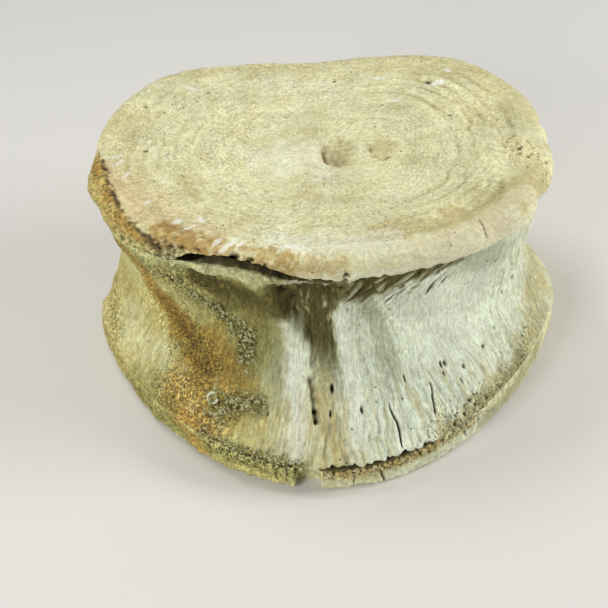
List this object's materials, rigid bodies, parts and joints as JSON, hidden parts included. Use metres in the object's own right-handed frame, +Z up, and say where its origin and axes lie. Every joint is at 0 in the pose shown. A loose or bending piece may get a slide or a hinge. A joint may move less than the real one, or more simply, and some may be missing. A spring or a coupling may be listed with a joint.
{
  "type": "whale vertebra",
  "caption": "Weathered whale vertebra body standing on end: waisted drum of bone with a disc on each end, a dished pitted face, open growth seams and broken arch stumps.",
  "frame": {"origin": "bottom centre of the bone's bounding box, on the surface it stands on", "axes": "+Z up the length of the bone, from the end it stands on to the dished face; -Y towards the belly keel, which faces the viewer; +X to the viewer's right, across the widest extent"},
  "size_m": [0.2676, 0.2272, 0.12],
  "materials": {
    "wall_bone": "matte",
    "face_bone": "matte",
    "base_bone": "matte",
    "broken_bone": "matte"
  },
  "bodies": {
    "root": {"centrum": "wall_bone", "epiphysis_top": "face_bone", "epiphysis_bottom": "base_bone", "arch_stump_left": "broken_bone", "arch_stump_right": "broken_bone"}
  },
  "joints": []
}
